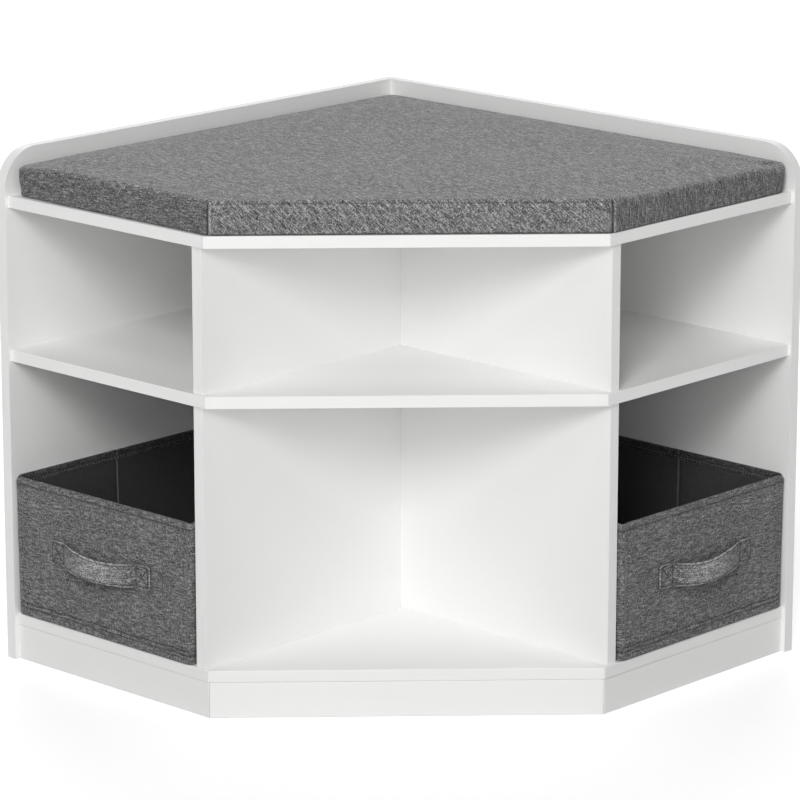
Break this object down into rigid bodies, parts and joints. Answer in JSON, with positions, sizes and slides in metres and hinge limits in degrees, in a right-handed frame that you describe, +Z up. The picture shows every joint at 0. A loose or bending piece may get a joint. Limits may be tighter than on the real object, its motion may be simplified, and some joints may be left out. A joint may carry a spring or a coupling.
{
  "type": "corner storage bench",
  "caption": "Corner storage bench with low wall panels, open shelves behind a cut-off front corner, a padded seat cushion and pull-out fabric baskets.",
  "frame": {"origin": "bottom centre of the whole bench's bounding box, baskets pushed in", "axes": "+Z up; +Y out of the back of the wall panel that is on the left as seen from the front; +X out of the back of the one on the right; the cut-off front corner faces -X -Y"},
  "size_m": [0.564, 0.564, 0.52],
  "materials": {
    "white_board": "white lacquered fibreboard, satin",
    "grey_weave": "grey heathered linen-look polyester weave",
    "black_lining": "black non-woven lining over card",
    "zinc_screw": "bright zinc plated steel",
    "beech_dowel": "plain beech"
  },
  "bodies": {
    "bench_frame": {"wall_panel_left": "white_board", "wall_panel_right": "white_board", "base_board": "white_board", "middle_shelf": "white_board", "seat_board": "white_board", "upper_divider_left": "white_board", "upper_divider_right": "white_board", "lower_divider_left": "white_board", "lower_divider_right": "white_board", "plinth_left": "white_board", "plinth_centre": "white_board", "plinth_right": "white_board", "plinth_return_left": "white_board", "plinth_return_right": "white_board", "base_wall_screw_left_back": "zinc_screw", "base_wall_screw_left_front": "zinc_screw", "base_wall_screw_right_back": "zinc_screw", "base_wall_screw_right_front": "zinc_screw", "shelf_wall_screw_left_back": "zinc_screw", "shelf_wall_screw_left_front": "zinc_screw", "shelf_wall_screw_right_back": "zinc_screw", "shelf_wall_screw_right_front": "zinc_screw", "seat_wall_screw_left_back": "zinc_screw", "seat_wall_screw_left_front": "zinc_screw", "seat_wall_screw_right_back": "zinc_screw", "seat_wall_screw_right_front": "zinc_screw", "corner_screw_lower": "zinc_screw", "corner_screw_middle": "zinc_screw", "corner_screw_upper": "zinc_screw", "seat_screw_left_back": "zinc_screw", "seat_screw_left_front": "zinc_screw", "seat_screw_right_back": "zinc_screw", "seat_screw_right_front": "zinc_screw", "base_screw_left_back": "zinc_screw", "base_screw_left_front": "zinc_screw", "base_screw_right_back": "zinc_screw", "base_screw_right_front": "zinc_screw", "shelf_dowel_left_back": "beech_dowel", "shelf_dowel_left_front": "beech_dowel", "shelf_dowel_right_back": "beech_dowel", "shelf_dowel_right_front": "beech_dowel", "plinth_dowel_left_wall": "beech_dowel", "plinth_dowel_left_corner": "beech_dowel", "plinth_dowel_centre_left": "beech_dowel", "plinth_dowel_centre_right": "beech_dowel", "plinth_dowel_right_wall": "beech_dowel", "plinth_dowel_right_corner": "beech_dowel", "return_dowel_left": "beech_dowel", "return_dowel_right": "beech_dowel"},
    "cushion": {"seat_cushion": "grey_weave"},
    "basket_left": {"basket_left_shell": "grey_weave", "basket_left_floor_insert": "black_lining", "basket_left_strap_handle": "grey_weave"},
    "basket_right": {"basket_right_shell": "grey_weave", "basket_right_floor_insert": "black_lining", "basket_right_strap_handle": "grey_weave"}
  },
  "joints": [
    {"name": "cushion_lift", "type": "slide", "parent": "bench_frame", "child": "cushion", "axis": [0, 0, 1], "range_m": [0, 0.08]},
    {"name": "basket_left_slide", "type": "slide", "parent": "bench_frame", "child": "basket_left", "axis": [-1, 0, 0], "range_m": [0, 0.25]},
    {"name": "basket_right_slide", "type": "slide", "parent": "bench_frame", "child": "basket_right", "axis": [0, -1, 0], "range_m": [0, 0.25]}
  ]
}
